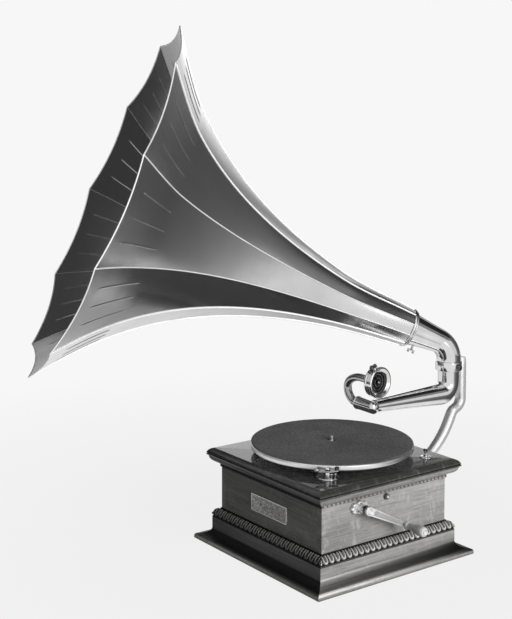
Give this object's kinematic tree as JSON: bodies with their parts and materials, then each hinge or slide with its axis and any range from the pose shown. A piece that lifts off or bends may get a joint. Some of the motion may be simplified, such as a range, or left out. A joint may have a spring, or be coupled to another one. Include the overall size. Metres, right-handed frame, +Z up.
{
  "type": "gramophone",
  "caption": "Tabletop gramophone: moulded oak cabinet with a spring motor and felt turntable, swinging tone arm with a tip-up sound box, and a scalloped flower horn of ribbed panels",
  "frame": {"origin": "On the floor under the turntable's spindle, at the middle of the square foot.", "axes": "+Z up; -Y is the side with the name plate; +X is the side with the crank; the bracket and the horn's swivel are on the +Y side."},
  "size_m": [0.8596, 0.8697, 0.9784],
  "materials": {
    "oak": "dark stained oak with ray fleck, waxed",
    "dark_oak": "dark stained oak mouldings, waxed",
    "nickel": "bright nickel plate",
    "horn_nickel": "aged nickel-plated sheet",
    "steel": "turned steel",
    "brass": "plain brass",
    "plate_metal": "dark bronzed plate, bare",
    "iron": "japanned iron",
    "felt": "dark wool felt",
    "leather": "dark leather",
    "mica": "smoky mica sheet",
    "grip_wood": "black stained turned wood"
  },
  "bodies": {
    "cabinet": {"cabinet_front": "oak", "cabinet_back": "oak", "cabinet_left": "oak", "cabinet_right": "oak", "plinth_moulding": "dark_oak", "carved_moulding": "dark_oak", "cornice_moulding": "dark_oak", "motor_board": "dark_oak", "bottom_board": "oak", "name_plate": "plate_metal", "side_stud": "steel", "motor_top_plate": "iron", "motor_bottom_plate": "iron", "motor_pillars": "steel", "governor_posts": "brass", "crank_escutcheon": "nickel", "brake_base": "nickel", "speed_base": "nickel", "bracket": "nickel", "bracket_collar": "nickel", "fixing_screws": "steel"},
    "turntable": {"platter": "nickel", "turntable_felt": "felt", "spindle": "steel", "spindle_pinion": "steel", "governor_wheel": "brass"},
    "intermediate": {"mid_arbor": "steel", "mid_wheel": "brass"},
    "barrel": {"spring_barrel": "steel", "barrel_cover": "steel", "barrel_gear": "brass", "mainspring": "steel"},
    "winding": {"winding_arbor": "steel", "winding_wheel": "brass"},
    "crank": {"winding_shaft": "steel", "winding_pinion": "steel", "crank_arm": "nickel"},
    "grip": {"crank_grip": "grip_wood"},
    "governor": {"governor_worm": "steel", "governor_weights": "brass", "governor_springs": "steel", "governor_disc": "brass"},
    "speed_control": {"speed_screw": "nickel"},
    "regulator": {"regulator_lever": "brass"},
    "brake": {"brake_lever": "nickel", "brake_pad": "leather"},
    "arm": {"tone_arm": "nickel", "arm_knuckle": "nickel"},
    "sound_box": {"gooseneck": "nickel", "sound_box_shell": "nickel", "sound_box_ring": "nickel", "diaphragm": "mica", "needle_bar": "steel", "needle_screw": "nickel"},
    "horn": {"elbow": "nickel", "throat_ferrule": "horn_nickel", "horn_panels": "horn_nickel", "horn_seams": "nickel", "horn_rim_wire": "nickel", "horn_thumbscrew": "steel"}
  },
  "joints": [
    {"name": "turntable_spin", "type": "hinge", "parent": "cabinet", "child": "turntable", "pos_m": [0, 0, 0.195], "axis": [0, 0, 1], "continuous": true},
    {"name": "intermediate_spin", "type": "hinge", "parent": "cabinet", "child": "intermediate", "pos_m": [-0.04685, -0.00148, 0.057], "axis": [0, 0, 1], "continuous": true},
    {"name": "barrel_spin", "type": "hinge", "parent": "cabinet", "child": "barrel", "pos_m": [-0.05, -0.0644, 0.09], "axis": [0, 0, 1], "continuous": true},
    {"name": "governor_spin", "type": "hinge", "parent": "cabinet", "child": "governor", "pos_m": [0, 0.034, 0.095], "axis": [1, 0, 0], "continuous": true},
    {"name": "crank_turn", "type": "hinge", "parent": "cabinet", "child": "crank", "pos_m": [0.148, -0.0644, 0.1285], "axis": [1, 0, 0], "continuous": true},
    {"name": "winding_turn", "type": "hinge", "parent": "cabinet", "child": "winding", "pos_m": [-0.05, -0.0644, 0.115], "axis": [0, 0, 1], "continuous": true},
    {"name": "grip_spin", "type": "hinge", "parent": "crank", "child": "grip", "pos_m": [0.176, 0.02099, 0.08686], "axis": [1, 0, 0], "continuous": true},
    {"name": "speed_turn", "type": "hinge", "parent": "cabinet", "child": "speed_control", "pos_m": [0.123, 0.123, 0.177], "axis": [0, 0, 1], "range_deg": [0, 270]},
    {"name": "regulator_tilt", "type": "hinge", "parent": "cabinet", "child": "regulator", "pos_m": [0.104, 0.076, 0.097], "axis": [0, 0, 1], "range_deg": [0, 4]},
    {"name": "brake_turn", "type": "hinge", "parent": "cabinet", "child": "brake", "pos_m": [0.11848, -0.11048, 0.191], "axis": [0, 0, -1], "range_deg": [0, 16]},
    {"name": "arm_swing", "type": "hinge", "parent": "cabinet", "child": "arm", "pos_m": [0, 0.3064, 0.295], "axis": [0, 0, 1], "range_deg": [-12, 36]},
    {"name": "sound_box_tip", "type": "hinge", "parent": "arm", "child": "sound_box", "pos_m": [-0.00881, 0.10459, 0.247], "axis": [0.999, -0.0436, 0], "range_deg": [0, 98]},
    {"name": "horn_swivel", "type": "hinge", "parent": "cabinet", "child": "horn", "pos_m": [0, 0.3064, 0.305], "axis": [0, 0, 1], "continuous": true}
  ],
  "couplings": [
    {"joint": "intermediate_spin", "follows": "turntable_spin", "ratio": -0.25},
    {"joint": "barrel_spin", "follows": "turntable_spin", "ratio": 0.041667},
    {"joint": "governor_spin", "follows": "turntable_spin", "ratio": 12},
    {"joint": "winding_turn", "follows": "crank_turn", "ratio": 0.5},
    {"joint": "regulator_tilt", "follows": "speed_turn", "ratio": 0.014815}
  ]
}
